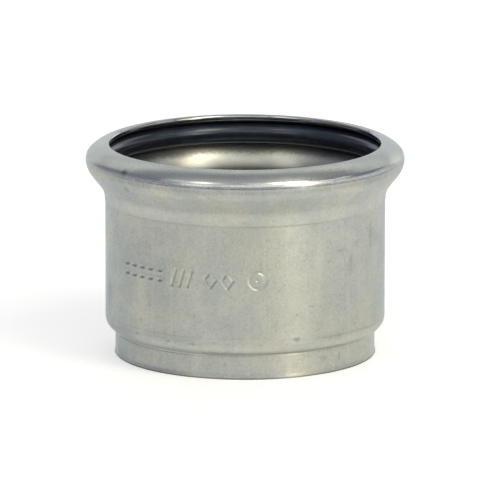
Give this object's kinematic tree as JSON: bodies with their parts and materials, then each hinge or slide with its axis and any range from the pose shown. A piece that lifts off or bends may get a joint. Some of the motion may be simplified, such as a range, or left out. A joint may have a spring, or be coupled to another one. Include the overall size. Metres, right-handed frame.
{
  "type": "press-fit pipe end cap",
  "caption": "Stainless steel end cap for press-fit pipe, with a rolled bead that holds a black seal ring, a plain socket and a closed, narrower neck.",
  "frame": {"origin": "centre of the neck's cut rim, on which the cap stands", "axes": "+Z along the socket's axis, from the closed neck to the open mouth; the object is a body of revolution about Z"},
  "size_m": [0.0654, 0.0654, 0.0438],
  "materials": {
    "stainless_steel": "pickled, satin",
    "epdm_rubber": "moulded, lightly greased",
    "disc_steel": "turned, satin",
    "weld_metal": "weld bead, pickled"
  },
  "bodies": {
    "root": {"socket_body": "stainless_steel", "seal_ring": "epdm_rubber", "end_disc": "disc_steel", "end_weld": "weld_metal"}
  },
  "joints": []
}
